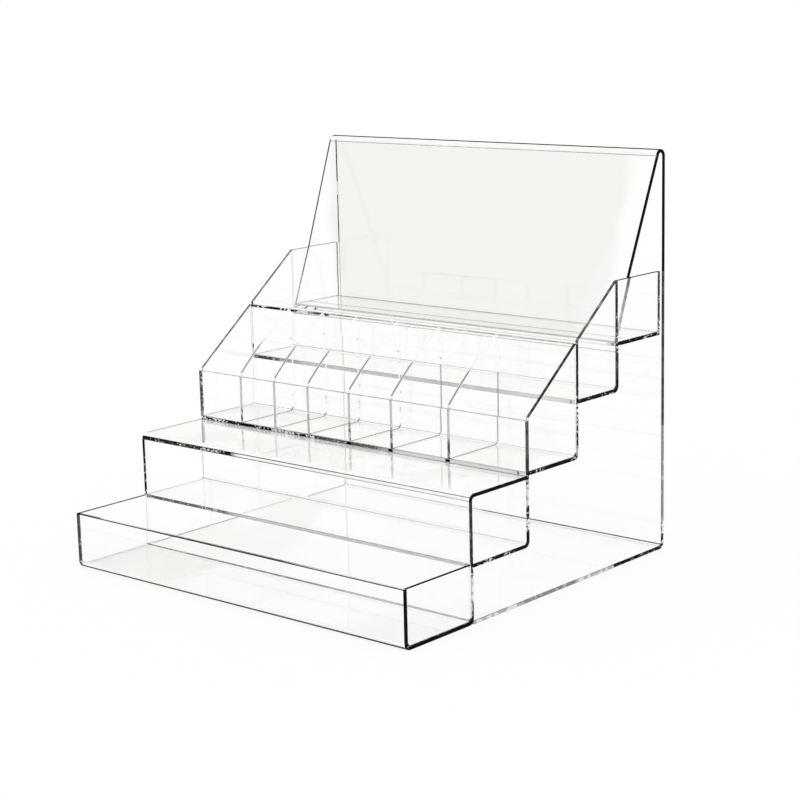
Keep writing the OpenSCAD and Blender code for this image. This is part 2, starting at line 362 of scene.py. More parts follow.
FINISH = {
    # Clear sheet
    "clear": clear_finish("clear_sheet", (1.0, 1.0, 0.998), (0.998, 0.9992, 0.994)),
    # On the floors and the header, the greenish-grey tint is painted reflection, and its paler patches are
    # painted glare
    "floor": clear_finish("clear_floor", (0.995, 0.998, 0.988), FLOOR_REFLECTION_TINT, low=0.46, high=0.5),
    "tray_floor": clear_finish("clear_tray_floor", FLOOR_REFLECTION_TINT, (0.83, 0.84, 0.80),
                               [(0.088, 0.096, (-1, 0, 0), 0.05)]),
    "header": clear_finish("clear_header", (0.972, 0.974, 0.942), (0.957, 0.962, 0.922),
                           [(-0.080, -0.068, (1, 0, 0.319), 0.02), (-0.106, -0.096, (-1, 0, 0.23), 0.02)]),
    # Painted shade on sawn ends, with painted glints, paler in places as painted light, and a pale painted
    # light for folds
    "black": shade_light_and_cement_finish("painted_shade_black", 0.010, 0.75, 0.66),
    "flecked": shade_light_and_cement_finish("painted_shade_flecked", 0.012, 0.85, 0.52, 420),
    "grey": shade_light_and_cement_finish("painted_shade_grey", 0.035, 0.12, 0.56, 300),
    "warm": shade_light_and_cement_finish("warm_grey", 0.05, 0.10, 0.5, 120),
    "pale": shade_light_and_cement_finish("painted_shade_pale", 0.5, 0.86, 0.5, 200),
    # A pale painted light, laid over bends and edges where light caught in the sheet would show dark
    "haze": shade_light_and_cement_finish("bend_painted_light", 0.95, 1.0, 0.5, 200),
    # Painted shade lines along an edge, from dark to pale
    "dark_line": shade_light_and_cement_finish("dark_line", 0.008, 0.2, 0.80, 200),
    "mid_line": shade_light_and_cement_finish("mid_line", 0.10, 0.3, 0.62, 200),
    "head_line": shade_light_and_cement_finish("head_line", 0.4, 0.6, 0.6, 200),
    "soft_line": shade_light_and_cement_finish("soft_line", 0.28, 0.5, 0.6, 200),
    "fence_top": shade_light_and_cement_finish("fence_top", 0.5, 0.7, 0.6, 200),
    "outer_line": shade_light_and_cement_finish("outer_line", 0.006, 0.1, 0.80, 200, outside_only=True),
    # Painted shade and painted light on the edges of the header's legs, the dividers and the left cheeks,
    # changing with height
    "leg_fade": shade_light_and_cement_finish("leg_fade", 0.55, 0.8, 0.5, 200, [(0.222, 0.262, 0.03, 0.12)], UP, 0.01),
    "arch": shade_light_and_cement_finish("arch_edge", 0.72, 0.9, 0.6, 200, [(0.185, 0.193, 0.95, 1.0)], UP, 0.006,
                        stripes=[(x, MARK, 0.26) for x in DIVIDER_X]),
    "arch_rim": shade_light_and_cement_finish("arch_rim", 0.45, 0.7, 0.6, 200, [(0.185, 0.193, 0.95, 1.0)], UP, 0.006),
    "left_slope": shade_light_and_cement_finish("left_slope", 0.6, 0.9, 0.6, 200, stripes=[(LEFT_X + HALF, MARK, 0.05)]),
    "divider_front": shade_light_and_cement_finish("divider_front", 0.02, 0.9, 0.47, 330,
                                 [(0.126, 0.136, 0.95, 1.0)], UP, 0.01),
    "divider_rim": shade_light_and_cement_finish("divider_rim", 0.02, 0.5, 0.52, 330,
                               [(0.126, 0.136, 0.14, 0.3)], UP, 0.01),
    # Cement lines along the front of a floor, dark with bubbles; their pale tones, and stretches that turn
    # pale across the stand, are painted light
    "box_seam": shade_light_and_cement_finish("box_seam", 0.004, 0.9, 0.54, 520,
                            [(-0.146, -0.132, 0.10, 0.95), (-0.10, -0.07, 0.97, 1.0)], wander=0.02),
    "comp_seam": shade_light_and_cement_finish("compartment_seam", 0.006, 0.95, 0.57, 420,
                             [(-0.055, -0.035, 0.13, 0.45), (0.03, 0.06, 0.95, 1.0)], wander=0.02,
                             drops=[(x, DROP, 0.006) for x in DIVIDER_X[3:]] + [(0.1905, END_DROP, 0.25)]),
    "upper_seam": shade_light_and_cement_finish("upper_seam", 0.008, 0.7, 0.62, 420,
                              [(-0.172, -0.158, 0.5, 0.95), (-0.145, -0.12, 0.95, 1.0)], wander=0.02,
                              drops=[(0.1925, END_DROP, 0.25)]),
    "shelf_seam": shade_light_and_cement_finish("shelf_seam", 0.97, 1.0, 0.62, 420, drops=[(0.1938, END_DROP, 0.25)]),
    "fence_seam": shade_light_and_cement_finish("fence_seam", 0.008, 0.8, 0.60, 420,
                              [(-0.125, -0.112, 0.03, 0.3), (-0.095, -0.088, 0.2, 0.5)], wander=0.006),
    # Rims above and below those cement lines: painted shade lines, paler across the stand as painted light
    "seam_rim": shade_light_and_cement_finish("seam_rim", 0.012, 0.25, 0.7, 300,
                            [(-0.13, -0.04, 0.04, 0.15), (0.08, 0.16, 0.2, 0.45)], outside_only=True),
    "comp_rim": shade_light_and_cement_finish("compartment_rim", 0.012, 0.25, 0.7, 300,
                            [(-0.13, -0.04, 0.04, 0.15), (0.04, 0.07, 0.45, 0.65)], outside_only=True),
    "light_rim": shade_light_and_cement_finish("light_rim", 0.02, 0.3, 0.7, 300,
                             [(-0.16, -0.12, 0.65, 0.85), (0.08, 0.16, 0.75, 0.9)], outside_only=True),
    "shelf_rim": shade_light_and_cement_finish("shelf_rim", 0.7, 0.9, 0.7, 300, outside_only=True),
    # Painted shade and painted light on folds, changing along the stand, and the painted shade lines beside
    # them
    "bend_band": shade_light_and_cement_finish("bend_band", 0.010, 0.7, 0.55, 700, [(-0.083, -0.068, 0.95, 1.0)],
                             wander=0.01),
    "bend_line": shade_light_and_cement_finish("bend_line", 0.012, 0.2, 0.7, 300, [(-0.02, 0.16, 0.18, 0.35)]),
    "bend_low_line": shade_light_and_cement_finish("bend_low_line", 0.08, 0.2, 0.7, 300, [(-0.06, 0.10, 0.4, 0.6)]),
    "base_fold": shade_light_and_cement_finish("base_fold", 0.92, 1.0, 0.5, 200, [(-0.020, -0.005, 0.08, 0.2)], wander=0.005,
                             outside_only=True),
    # Other cement lines, and painted shade lines in inner folds and along the shelf's back edge
    "thin_seam": shade_light_and_cement_finish("thin_seam", 0.05, 0.3, 0.64, 260),
    "riser_seam": shade_light_and_cement_finish("riser_seam", 0.5, 0.7, 0.5, 260, [(0.11, 0.13, 0.10, 0.4)], wander=0.005),
    "tray_fold": shade_light_and_cement_finish("tray_fold", 0.25, 0.7, 0.60, 300, [(0.0, 0.10, 0.8, 0.95)],
                             outside_only=True),
    "shelf_back": shade_light_and_cement_finish("shelf_back", 0.12, 0.35, 0.6, 260, [(-0.03, 0.08, 0.45, 0.7)]),
    "fold_line": line_finish("fold_line", 0.12, 0.95, 0.7, -0.1, 0.15, 0.4),
}

SLOTS = list(FINISH)

# Modelling helpers

# How close counts as one point, and how far beyond a part its tests reach
TOUCHING = 1e-6
NEAR = 10 * MM
BACK_REACH = 8 * MM
HEADER_REACH = 5 * MM
CUT_ANGLE = math.radians(50)
SMOOTH_ANGLE = math.radians(35)


def alone(obj):
    """Selects one object and nothing else."""
    bpy.ops.object.select_all(action="DESELECT")
    obj.select_set(True)
    bpy.context.view_layer.objects.active = obj


def pick(obj, kind, test):
    """In edit mode, selects the edges or faces whose middle passes the test."""
    bpy.ops.mesh.select_mode(type=kind)
    bpy.ops.mesh.select_all(action="DESELECT")
    mesh = bmesh.from_edit_mesh(obj.data)
    if kind == "EDGE":
        for edge in mesh.edges:
            edge.select_set(test((edge.verts[0].co + edge.verts[1].co) / 2))
    else:
        for face in mesh.faces:
            face.select_set(test(face.calc_center_median()))
    bmesh.update_edit_mesh(obj.data)


def flat_plane(name, place, size, turn):
    """A plane primitive at its size and place, with its place in its mesh."""
    bpy.ops.object.select_all(action="DESELECT")
    bpy.ops.mesh.primitive_plane_add(size=1, location=place, rotation=turn)
    obj = bpy.context.object
    obj.name = obj.data.name = name
    obj.scale = (size[0], size[1], 1)
    bpy.ops.object.transform_apply(location=True, rotation=True, scale=True)
    return obj


def thicken(obj):
    """Gives a middle surface the sheet's thickness."""
    alone(obj)
    bpy.ops.object.mode_set(mode="EDIT")
    bpy.ops.mesh.select_all(action="SELECT")
    bpy.ops.mesh.remove_doubles(threshold=TOUCHING)
    bpy.ops.mesh.normals_make_consistent(inside=False)
    bpy.ops.object.mode_set(mode="OBJECT")
    solid = obj.modifiers.new("thickness", "SOLIDIFY")
    solid.thickness = SHEET
    solid.offset = 0
    solid.use_even_offset = True
    bpy.ops.object.modifier_apply(modifier=solid.name)
    return obj


def round_edges(obj):
    """Rounds the cut edges a little and keeps the flat faces flat."""
    alone(obj)
    edge = obj.modifiers.new("edges", "BEVEL")
    edge.width = CUT_EDGE_ROUND
    edge.segments = 2
    edge.limit_method = "ANGLE"
    edge.angle_limit = CUT_ANGLE
    bpy.ops.object.modifier_apply(modifier=edge.name)
    bpy.ops.object.mode_set(mode="EDIT")
    bpy.ops.mesh.select_all(action="SELECT")
    bpy.ops.mesh.remove_doubles(threshold=TOUCHING)
    bpy.ops.mesh.normals_make_consistent(inside=False)
    bpy.ops.object.mode_set(mode="OBJECT")
    bpy.ops.object.shade_smooth_by_angle(angle=SMOOTH_ANGLE)
    flat = obj.modifiers.new("normals", "WEIGHTED_NORMAL")
    flat.keep_sharp = True
    flat.weight = 100
    bpy.ops.object.modifier_apply(modifier=flat.name)
    for finish in FINISH.values():
        obj.data.materials.append(finish)
    return obj


def paint(obj, finish, test):
    """Gives a finish to the faces that pass a test of their middle and normal."""
    for face in obj.data.polygons:
        if test(face.center, face.normal):
            face.material_index = SLOTS.index(finish)


def line_across(obj, place, normal, test=None):
    """A cut line where a plane meets the chosen faces."""
    alone(obj)
    bpy.ops.object.mode_set(mode="EDIT")
    if test is None:
        bpy.ops.mesh.select_all(action="SELECT")
    else:
        pick(obj, "FACE", test)
    bpy.ops.mesh.bisect(plane_co=place, plane_no=normal, threshold=TOUCHING)
    bpy.ops.object.mode_set(mode="OBJECT")


def start_sheet(name, start, end):
    """The first leg of a bent sheet, from start to end in Y and Z, with its far edge selected."""
    run = Vector(end) - Vector(start)
    turn = math.atan2(run.y, run.x)
    middle = (Vector(start) + Vector(end)) / 2
    obj = flat_plane(name, (0, middle.x, middle.y), (WIDTH, run.length), (turn, 0, 0))
    bpy.ops.object.mode_set(mode="EDIT")
    pick(obj, "EDGE", lambda m: (Vector((m.y, m.z)) - Vector(end)).length < 10 * TOUCHING)
    return obj


def run_on(dy, dz):
    """Carries the selected edge of a sheet straight on."""
    bpy.ops.mesh.extrude_region_move(TRANSFORM_OT_translate={"value": (0, dy, dz)})


def run_up(z, *stops):
    """Carries the selected edge up from z, with a line across at each stop."""
    for stop in stops:
        run_on(0, stop - z)
        z = stop


def run_back(y, *stops):
    """Carries the selected edge back from y, with a line across at each stop."""
    for stop in stops:
        run_on(stop - y, 0)
        y = stop


def fold(centre, degrees, steps=BEND_STEPS):
    """Bends the sheet on from its selected edge, about a line along X."""
    bpy.ops.mesh.spin(steps=steps, angle=-math.radians(degrees), center=(0, *centre), axis=ALONG_X)


def cross_plate(name, x, outline, lines=()):
    """A plate across the width, its convex outline given in Y and Z counted round."""
    ys, zs = [p[0] for p in outline], [p[1] for p in outline]
    size = (max(zs) - min(zs), max(ys) - min(ys))
    place = (x, (max(ys) + min(ys)) / 2, (max(zs) + min(zs)) / 2)
    obj = flat_plane(name, place, size, (0, math.radians(90), 0))
    bpy.ops.object.mode_set(mode="EDIT")
    for a, b in zip(outline, outline[1:] + outline[:1]):
        run = Vector((b[0] - a[0], b[1] - a[1]))
        out = Vector((0, run.y, -run.x)).normalized()
        if max(abs(out.y), abs(out.z)) > 0.999999:
            continue    # already a side of the plane
        bpy.ops.mesh.select_all(action="SELECT")
        bpy.ops.mesh.bisect(plane_co=(x, a[0], a[1]), plane_no=out, clear_outer=True, threshold=TOUCHING)
    bpy.ops.object.mode_set(mode="OBJECT")
    for place, normal in lines:
        line_across(obj, place, normal)
    return round_edges(thicken(obj))


def copy_across(source, name, shift):
    """A copy of a piece with its own mesh, moved across the stand."""
    alone(source)
    bpy.ops.object.duplicate()
    obj = bpy.context.object
    obj.name = obj.data.name = name
    bpy.ops.transform.translate(value=(shift, 0, 0))
    bpy.ops.object.transform_apply(location=True, rotation=True, scale=True)
    return obj


# Bent sheets

sheets = {}
front_mid = FRONT_Y + HALF
riser_mid = BOX_Y + HALF
low_bend = HALF + MID
front_bend = (front_mid + MID, low_bend)
foot_bend = (riser_mid - MID, low_bend)
plate_bend = (riser_mid + MID, BOX_TOP - HALF - MID)

tray = start_sheet("tray_and_riser_sheet", (front_mid, TRAY_TOP), (front_mid, low_bend))
fold(front_bend, 90)
run_back(front_bend[0], foot_bend[0])
fold(foot_bend, 90)
run_up(low_bend, *RISER_LINES, plate_bend[1])
fold(plate_bend, -90)
run_back(plate_bend[0], COMP_Y + SHEET)
bpy.ops.object.mode_set(mode="OBJECT")
sheets["tray_and_riser"] = tray


def below(top):
    """Heights just under a joint, where the cement shows."""
    return tuple(top - mark for mark in JOINT_MARKS)


def floor_and_back(name, front, back, floor_top, joint, lines=()):
    """A floor and the upright behind it up to a joint, bent from one sheet, and the middle of its bend."""
    level = floor_top - HALF
    centre = (back + HALF - MID, level + MID)
    sheet = start_sheet(name, (front, level), (centre[0], level))
    fold(centre, 90)
    run_up(centre[1], *lines, *below(joint), joint)
    bpy.ops.object.mode_set(mode="OBJECT")
    return sheet, centre


box_front = BOX_Y + SHEET + CEMENT
box, box_bend = floor_and_back(
    "box_sheet", box_front, COMP_Y, TRAY_TOP, BOX_TOP - SHEET - CEMENT, BOX_LINES)
comp, comp_bend = floor_and_back(
    "compartment_sheet", COMP_Y, UPPER_Y, COMP_FLOOR, UPPER_FLOOR - SHEET - CEMENT)
upper, upper_bend = floor_and_back(
    "upper_tray_sheet", UPPER_Y, SHELF_Y, UPPER_FLOOR, SHELF_TOP - SHEET - CEMENT, UPPER_LINES)
sheets["box_floor_and_back"] = box
sheets["compartment_floor_and_back"] = comp
sheets["upper_tray_floor_and_back"] = upper

# Base, back panel and header

top_centre = Vector((BACK_Y - TOP_OUT, TOP_Z - TOP_OUT))
foot_goal = Vector((SHELF_Y + HEADER_CLEAR, SHELF_TOP + CEMENT))
reach = top_centre - foot_goal
lean = math.degrees(math.atan2(reach.x, reach.y)) - math.degrees(math.asin(TOP_OUT / reach.length))
lean = round(lean, 1)
down = Vector((-math.sin(math.radians(lean)), -math.cos(math.radians(lean))))
header_top = top_centre + TOP_MID * Vector((down.y, -down.x))
foot_width = WIDTH - 2 * (SHEET + HEADER_CLEAR)

base_bend = (BACK_Y - HALF - MID, low_bend)
base_stops = [FRONT_Y + y for y in BASE_LINES]
back = start_sheet("base_and_header_sheet", (BASE_FRONT, HALF), (base_stops[0], HALF))
run_back(*base_stops, base_bend[0])
fold(base_bend, 90)
run_up(low_bend, *PANEL_LINES, top_centre.y)
fold(top_centre, 180 - lean, TOP_BEND_STEPS)


def header_at(z):
    """The header's middle surface at a height."""
    return header_top + down * ((header_top.y - z) / -down.y)


here = header_top
here_width = WIDTH
for level, width in ((HEAD_LINE[0], WIDTH), (HEAD_LINE[1], WIDTH), (top_centre.y, WIDTH),
                     (SHELF_CHEEK_TOP, foot_width), (SHELF_TOP - SHEET, foot_width)):
    goal = header_at(level)
    run_on(goal.x - here.x, goal.y - here.y)
    bpy.ops.transform.resize(value=(width / here_width, 1, 1), center_override=(0, goal.x, goal.y))
    here = goal
    here_width = width
bpy.ops.object.mode_set(mode="OBJECT")
sheets["back_frame"] = back


def on_header(m):
    """Whether a place is on the flat header, and not on the panel or the top bend."""
    return SHELF_TOP - NEAR < m.z < top_centre.y - 1 * MM and SHELF_Y - NEAR < m.y < BACK_Y - BACK_REACH


def taper_share(z):
    """How far up a height is from the header's narrow foot to its full width."""
    return (z - SHELF_CHEEK_TOP) / (top_centre.y - SHELF_CHEEK_TOP)


def right_edge(m):
    """Where the sheet's right end is: the header tapers."""
    if not on_header(m) or m.y > header_at(m.z).x + HEADER_REACH:
        return RIGHT_X
    share = min(max(taper_share(m.z), 0), 1)
    return (foot_width + share * (WIDTH - foot_width)) / 2


def line_along_right(sheet, edge=RIGHT_X, test=None):
    """The line beside a right end, from where a strip is painted dark as painted shade for the sawn face
    seen through the sheet.
    """
    line_across(sheet, (edge - DARK_STRIP, 0, 0), ALONG_X, test)


taper = (WIDTH - foot_width) / 2 / (top_centre.y - SHELF_CHEEK_TOP)
for sheet in (tray, box, comp, upper):
    line_along_right(sheet)
line_along_right(back, test=lambda m: not on_header(m))
line_across(back, (RIGHT_X - DARK_STRIP, 0, top_centre.y), (1, 0, -taper),
            lambda m: on_header(m) and m.z > SHELF_CHEEK_TOP)
line_along_right(back, foot_width / 2, lambda m: on_header(m) and m.z < SHELF_CHEEK_TOP)
line_across(tray, (LEFT_X + LEFT_STRIP, 0, 0), ALONG_X)
line_across(tray, (0, 0, TRAY_TOP - TRAY_TOP_LINE), UP, lambda m: m.y < FRONT_Y + SHEET + 1 * MM)
for sheet, places in ((box, (BOX_SEAM_END,)), (comp, COMP_SEAM_ENDS + (SEAM_DROP,)),
                      (upper, RISER_SEAM_ENDS[:1])):
    for x in places:
        line_across(sheet, (x, 0, 0), ALONG_X)
for sheet in sheets.values():
    thicken(sheet)

# The foot of the header is cut level, to stand on the shelf
alone(back)
bpy.ops.object.mode_set(mode="EDIT")
foot_front = header_at(SHELF_CHEEK_TOP).x + NEAR
pick(back, "FACE", lambda m: m.y < foot_front and m.z > SHELF_TOP - NEAR)
bpy.ops.mesh.bisect(plane_co=(0, 0, SHELF_TOP + CEMENT), plane_no=(0, 0, -1), clear_outer=True,
                    use_fill=True, threshold=TOUCHING)
bpy.ops.object.mode_set(mode="OBJECT")

# Flat sheets

ALONG_Y = (0, 1, 0)


def front_strip(name, y, low, high):
    """A strip that stands on the front edge of a floor."""
    strip = flat_plane(name, (0, y + HALF, (low + high) / 2), (WIDTH, high - low), (math.radians(90), 0, 0))
    line_along_right(strip)
    return strip


shelf = flat_plane("top_shelf_sheet", (0, (SHELF_Y + SHELF_BACK) / 2, SHELF_TOP - HALF),
                   (WIDTH, SHELF_BACK - SHELF_Y), (0, 0, 0))
for y in (FRONT_Y + SHELF_SEAM[0], FRONT_Y + SHELF_SEAM[1], SHELF_BACK - SHELF_BACK_LINE):
    line_across(shelf, (0, y, 0), ALONG_Y)
line_across(shelf, (SEAM_DROP, 0, 0), ALONG_X)
line_along_right(shelf)

comp_front = front_strip("compartment_front", COMP_Y, COMP_FLOOR + CEMENT, COMP_FRONT_TOP)
upper_front = front_strip("upper_tray_front", UPPER_Y, UPPER_FLOOR + CEMENT, UPPER_FRONT_TOP)
for drop in FENCE_LINES:
    line_across(upper_front, (0, 0, UPPER_FRONT_TOP - drop), UP)
for x in FENCE_SEAM_ENDS:
    line_across(upper_front, (x, 0, 0), ALONG_X)
sheets["top_shelf"] = thicken(shelf)
sheets["compartment_front_strip"] = thicken(comp_front)
sheets["upper_front_strip"] = thicken(upper_front)

for sheet in sheets.values():
    round_edges(sheet)

# What is painted on the sheets: painted shade on the sawn ends, top edges and folds, painted light in
# places, and cement lines

# Depths behind the front and heights of the sheets' parts, in mm
EVERYWHERE = (-5, 400)
TRAY_FRONT = (-1, 4)
RISER = (80, 95)
BOX_BACK = (160, 170)
COMP_BACK = (230, 240)
UPPER_BACK = (290, 305)
LEG = (290, 330)
PANEL = (366, 380)
LOW = (-1, 4)
LEG_FOOT = (204, 263)


def inside(deep, high):
    """A test for the middle of a face, by its depth behind the front and its height in mm."""
    return lambda m, n: deep[0] * MM < m.y - FRONT_Y < deep[1] * MM and high[0] * MM < m.z < high[1] * MM


def right_end(deep, high):
    """A sawn right end, and the strip beside it that is painted dark as painted shade, for the end seen
    through the sheet.
    """
    where = inside(deep, high)
    return lambda m, n: where(m, n) and (n.x > 0.5 or m.x > right_edge(m) - DARK_STRIP and abs(n.x) < 0.1)


def left_end(deep, high):
    """A sawn left end."""
    where = inside(deep, high)
    return lambda m, n: where(m, n) and n.x < -0.5


def end_rim(side, deep, high):
    """The rounded edges of the right end, side 1, or of the left end, side -1."""
    where = inside(deep, high)
    return lambda m, n: where(m, n) and 0.05 < n.x * side < 0.97


def right_rim(deep, high):
    """The rounded edges of a right end."""
    return end_rim(1, deep, high)


def left_rim(deep, high):
    """The rounded edges of a left end."""
    return end_rim(-1, deep, high)


def on_fold(centre, radius, start, stop):
    """A strip of a fold, between two angles round it: 0 faces ahead, 90 up, 180 back and 270 down."""
    def test(m, n):
        out = Vector((m.y, m.z)) - Vector(centre)
        turn = math.degrees(math.atan2(out.y, -out.x)) % 360
        return (abs(n.x) < 0.05 and abs(out.length - radius) < 0.2 * MM and start < turn < stop
                and m.x <= RIGHT_X - DARK_STRIP)
    return test


def front_face(y, low, high, start=LEFT_X, stop=RIGHT_X - DARK_STRIP):
    """The front of a floor or strip between two heights, and between two places across the stand."""
    return lambda m, n: (n.y < -0.05 and abs(n.x) < 0.05 and m.y < y + 0.5 * MM and low < m.z < high
                         and start < m.x < stop)


# Right ends painted black and left ends dark, as painted shade for the ends seen through the sheet
for sheet in sheets.values():
    for test, finish in ((right_end, "black"), (right_rim, "black"),
                         (left_end, "dark_line"), (left_rim, "dark_line")):
        paint(sheet, finish, test(EVERYWHERE, EVERYWHERE))

# Right ends, each row over the ones before: sheet, what is painted, finish, depths and heights. The
# finishes are painted shade of differing darkness, and pale is painted light
for sheet, test, finish, deep, high in (
        (tray, right_end, "dark_line", TRAY_FRONT, (4, 53)),
        (tray, right_rim, "dark_line", TRAY_FRONT, (4, 53)),
        (tray, right_end, "dark_line", (4, 62), LOW),
        (tray, right_rim, "dark_line", (4, 62), LOW),
        (tray, right_end, "dark_line", (80, 170), (106, 114)),
        (comp_front, right_end, "warm", EVERYWHERE, EVERYWHERE),
        (comp_front, right_rim, "warm", EVERYWHERE, EVERYWHERE),
        # Uprights
        (tray, right_end, "grey", RISER, (60, 106)),
        (tray, right_end, "flecked", RISER, (42, 60)),
        (tray, right_end, "pale", RISER, (24, 42)),
        (tray, right_end, "flecked", RISER, (6, 24)),
        (tray, right_rim, "mid_line", RISER, (24, 60)),
        (box, right_end, "pale", BOX_BACK, (86, 110)),
        (box, right_rim, "soft_line", BOX_BACK, (86, 110)),
        (box, right_end, "flecked", BOX_BACK, (62, 86)),
        (comp, right_end, "flecked", COMP_BACK, (119, 162)),
        (comp, right_rim, "mid_line", COMP_BACK, (119, 162)),
        (upper, right_end, "grey", UPPER_BACK, (174, 204)),
        # Base, panel and header
        (back, right_end, "pale", (80, 291), LOW),
        (back, right_rim, "soft_line", (80, 157), LOW),
        (back, right_end, "soft_line", (157, 232), LOW),
        (back, right_rim, "dark_line", (80, 291), (-1, 1.5)),
        (back, right_rim, "soft_line", (157, 291), (1.5, 4)),
        (back, right_end, "leg_fade", LEG, LEG_FOOT),
        (back, right_rim, "leg_fade", LEG, LEG_FOOT),
        (back, right_end, "flecked", (291, 380), (-1, 26)),
        (back, right_end, "black", (291, 366), LOW),
        (back, right_end, "soft_line", PANEL, (26, 118)),
        (back, right_rim, "soft_line", PANEL, (26, 118)),
        (back, right_end, "dark_line", (290, 380), (263, 400)),
        (back, right_rim, "dark_line", (290, 380), (263, 400)),
        (back, right_end, "warm", PANEL, (118, 262)),
        (back, right_rim, "warm", PANEL, (118, 262))):
    paint(sheet, finish, test(deep, high))

# The drop of cement on the right end of an upright, just under its joint, black, with pale painted light
# above and below it
for sheet, deep, joint in ((box, BOX_BACK, BOX_TOP - SHEET), (comp, COMP_BACK, UPPER_FLOOR - SHEET),
                           (upper, UPPER_BACK, SHELF_TOP - SHEET)):
    marks = [height / MM for height in (*below(joint), joint + 1 * MM)]
    for finish, low, high in zip(("pale", "black", "pale"), marks, marks[1:]):
        paint(sheet, finish, right_end(deep, (low, high)))

# Left ends that hardly show: clear, with soft painted shade lines on their rims
for sheet, deep, high in (
        (comp, COMP_BACK, (119, 165)), (comp, (170, 240), (108, 119)), (upper_front, COMP_BACK, (160, 220)),
        (box, BOX_BACK, (57, 110)), (box, (95, 170), (45, 60)), (upper, UPPER_BACK, (168, 205)),
        (upper, (240, 300), (158, 172)), (shelf, (300, 366), (200, 210)), (tray, RISER, (5, 50)),
        (back, PANEL, (311, 325)), (back, PANEL, (5, 209))):
    paint(sheet, "clear", left_end(deep, high))
    paint(sheet, "soft_line", left_rim(deep, high))
# Left ends that show, with painted shade
for sheet, test, finish, deep, high in (
        (comp_front, left_end, "flecked", EVERYWHERE, EVERYWHERE),
        (tray, left_end, "black", (80, 100), (50, 113)),
        (back, left_end, "soft_line", PANEL, (262, 311)),
        (back, left_end, "clear", PANEL, (209, 262)),
        (back, left_rim, "soft_line", PANEL, (209, 325)),
        (back, left_end, "mid_line", (80, 380), LOW),
        (back, left_end, "leg_fade", LEG, LEG_FOOT),
        (back, left_rim, "leg_fade", LEG, LEG_FOOT)):
    paint(sheet, finish, test(deep, high))
# A strip beside the tray's left end, painted black as painted shade
paint(tray, "black", lambda m, n: n.y < -0.5 and m.x < LEFT_X + LEFT_STRIP
      and TRAY_TOP < m.z < BOX_TOP - SHEET)

# Top edges, painted as painted shade lines
paint(tray, "dark_line", lambda m, n: m.y < FRONT_Y + SHEET + 1 * MM and m.z > TRAY_TOP - TRAY_TOP_LINE)
paint(comp_front, "fence_top", lambda m, n: m.z > COMP_FRONT_TOP - EDGE)
paint(upper_front, "fence_top", lambda m, n: m.z > UPPER_FRONT_TOP - 0.6 * MM)

# Cement lines along the fronts of the floors, with the rims above and below them as painted shade lines,
# and pale stretches of painted light
for sheet, y, top, rim, seam, pale_parts in (
        (box, box_front, TRAY_TOP, "seam_rim", "box_seam", [("haze", BOX_SEAM_END, RIGHT_X)]),
        (comp, COMP_Y, COMP_FLOOR, "comp_rim", "comp_seam",
         [("haze", *COMP_SEAM_ENDS[:2]), ("haze", COMP_SEAM_ENDS[2], SEAM_DROP)]),
        (upper, UPPER_Y, UPPER_FLOOR, "light_rim", "upper_seam", []),
        (shelf, SHELF_Y, SHELF_TOP, "shelf_rim", "shelf_seam", [("clear", LEFT_X, SEAM_DROP)])):
    paint(sheet, rim, front_face(y, top - SHEET - 1 * MM, top + 1 * MM))
    for finish, start, stop in [(seam, LEFT_X, RIGHT_X)] + pale_parts:
        paint(sheet, finish, front_face(y, top - SHEET + EDGE, top - EDGE, start,
                                        min(stop, RIGHT_X - DARK_STRIP)))

# Other cement lines, and a painted shade line along the shelf's back edge
paint(shelf, "shelf_back", lambda m, n: n.z > 0.05 and m.y > SHELF_BACK - SHELF_BACK_LINE
      and abs(n.x) < 0.05 and m.x < RIGHT_X - DARK_STRIP)
paint(shelf, "thin_seam", lambda m, n: n.z > 0.97 and SHELF_SEAM[0] < m.y - FRONT_Y < SHELF_SEAM[1]
      and m.x < TINT_REACH)
paint(upper, "riser_seam", lambda m, n: n.y < -0.97 and RISER_SEAM[0] < m.z < RISER_SEAM[1]
      and RISER_SEAM_ENDS[0] < m.x < RISER_SEAM_ENDS[1])
for drop, end in zip(FENCE_LINES, FENCE_SEAM_ENDS):
    paint(upper_front, "fence_seam", lambda m, n: n.y < -0.05 and m.x < end
          and m.z > UPPER_FRONT_TOP - drop)

# Tinted faces: painted reflection, with paler patches of painted glare, on faces that look up and on the
# header's front
for sheet in (tray, comp):
    paint(sheet, "floor", lambda m, n: n.z > 0.99 and abs(m.x) < TINT_REACH)
paint(tray, "tray_floor", lambda m, n: n.z > 0.99 and m.z < NEAR and abs(m.x) < TINT_REACH)
paint(back, "header", lambda m, n: n.y < -0.5 and abs(n.x) < 0.1 and on_header(m) and m.x < TINT_REACH)

# Folds: painted shade lines, and pale painted light where light caught in the sheet would show dark. A
# painted shade line runs across the header near its top, and its foot gets painted light
for sheet, finish, centre, radius, start, stop in (
        (tray, "outer_line", front_bend, OUT, 270, 321), (tray, "haze", plate_bend, OUT, 37, 90),
        (tray, "bend_band", plate_bend, OUT, 7, 37), (tray, "bend_line", plate_bend, OUT, 30, 38),
        (tray, "bend_low_line", plate_bend, OUT, 0, 7.5), (tray, "tray_fold", foot_bend, BEND, 217, 233),
        (box, "fold_line", box_bend, BEND, 217, 233), (comp, "fold_line", comp_bend, BEND, 217, 233),
        (upper, "fold_line", upper_bend, BEND, 217, 233), (back, "base_fold", base_bend, BEND, 210, 233),
        (back, "haze", top_centre, TOP_OUT, lean, 66), (back, "dark_line", top_centre, TOP_OUT, 66, 112)):
    paint(sheet, finish, on_fold(centre, radius, start, stop))
paint(back, "head_line", lambda m, n: n.y < -0.5 and HEAD_LINE[1] < m.z < HEAD_LINE[0]
      and m.y < BACK_Y - BACK_REACH)
paint(back, "haze", lambda m, n: n.z < -0.3 and abs(m.z - SHELF_TOP) < 1 * MM and m.y < foot_front)

# End cheeks and dividers

